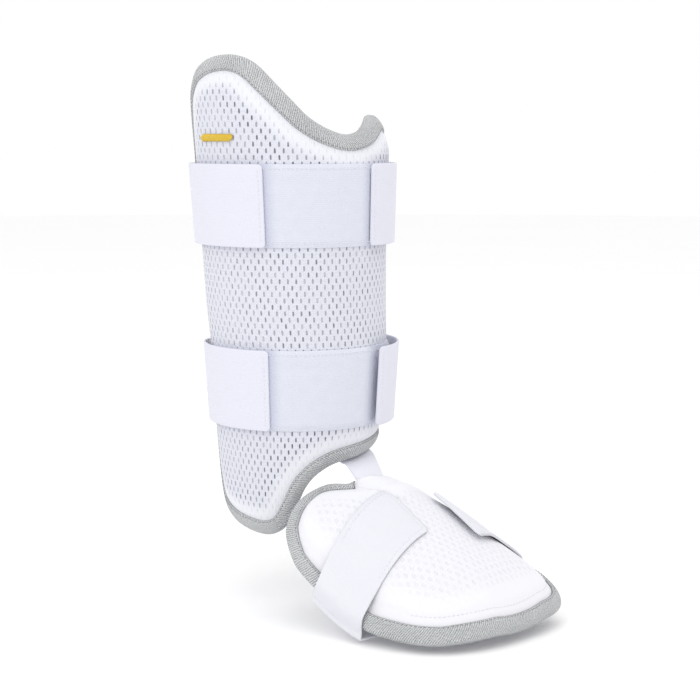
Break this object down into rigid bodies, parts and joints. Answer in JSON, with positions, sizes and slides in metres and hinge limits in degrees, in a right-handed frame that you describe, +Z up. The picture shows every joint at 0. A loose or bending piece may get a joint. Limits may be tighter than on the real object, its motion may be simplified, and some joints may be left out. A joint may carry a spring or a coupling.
{
  "type": "batter's leg guard",
  "caption": "Padded shin shell open at the back, with a padded foot cover below it on a short elastic, and wide elastic straps round the calf and under the foot.",
  "frame": {"origin": "on the axis of the wearer's leg, at the middle of the shell's height", "axes": "+Z up the leg, -Y towards the toes, +X to the outer side of the wearer's left leg"},
  "size_m": [0.1637, 0.2876, 0.407],
  "materials": {
    "shin_shell": "soft white air mesh over foam",
    "shin_binding": "grey woven tape with a twill rib",
    "upper_band": "brushed white loop fabric",
    "lower_band": "brushed white loop fabric",
    "upper_strap": "white ribbed elastic webbing",
    "lower_strap": "white ribbed elastic webbing",
    "stitched_bar": "gold satin stitch embroidery",
    "foot_pad": "soft pure white mesh over foam",
    "foot_binding": "grey woven tape with a twill rib",
    "instep_strap": "white elastic webbing",
    "foot_strap": "white smooth webbing"
  },
  "bodies": {
    "root": {"shin_shell": "shin_shell", "shin_binding": "shin_binding", "upper_band": "upper_band", "lower_band": "lower_band", "upper_strap": "upper_strap", "lower_strap": "lower_strap", "stitched_bar": "stitched_bar", "foot_pad": "foot_pad", "foot_binding": "foot_binding", "instep_strap": "instep_strap", "foot_strap": "foot_strap"}
  },
  "joints": []
}
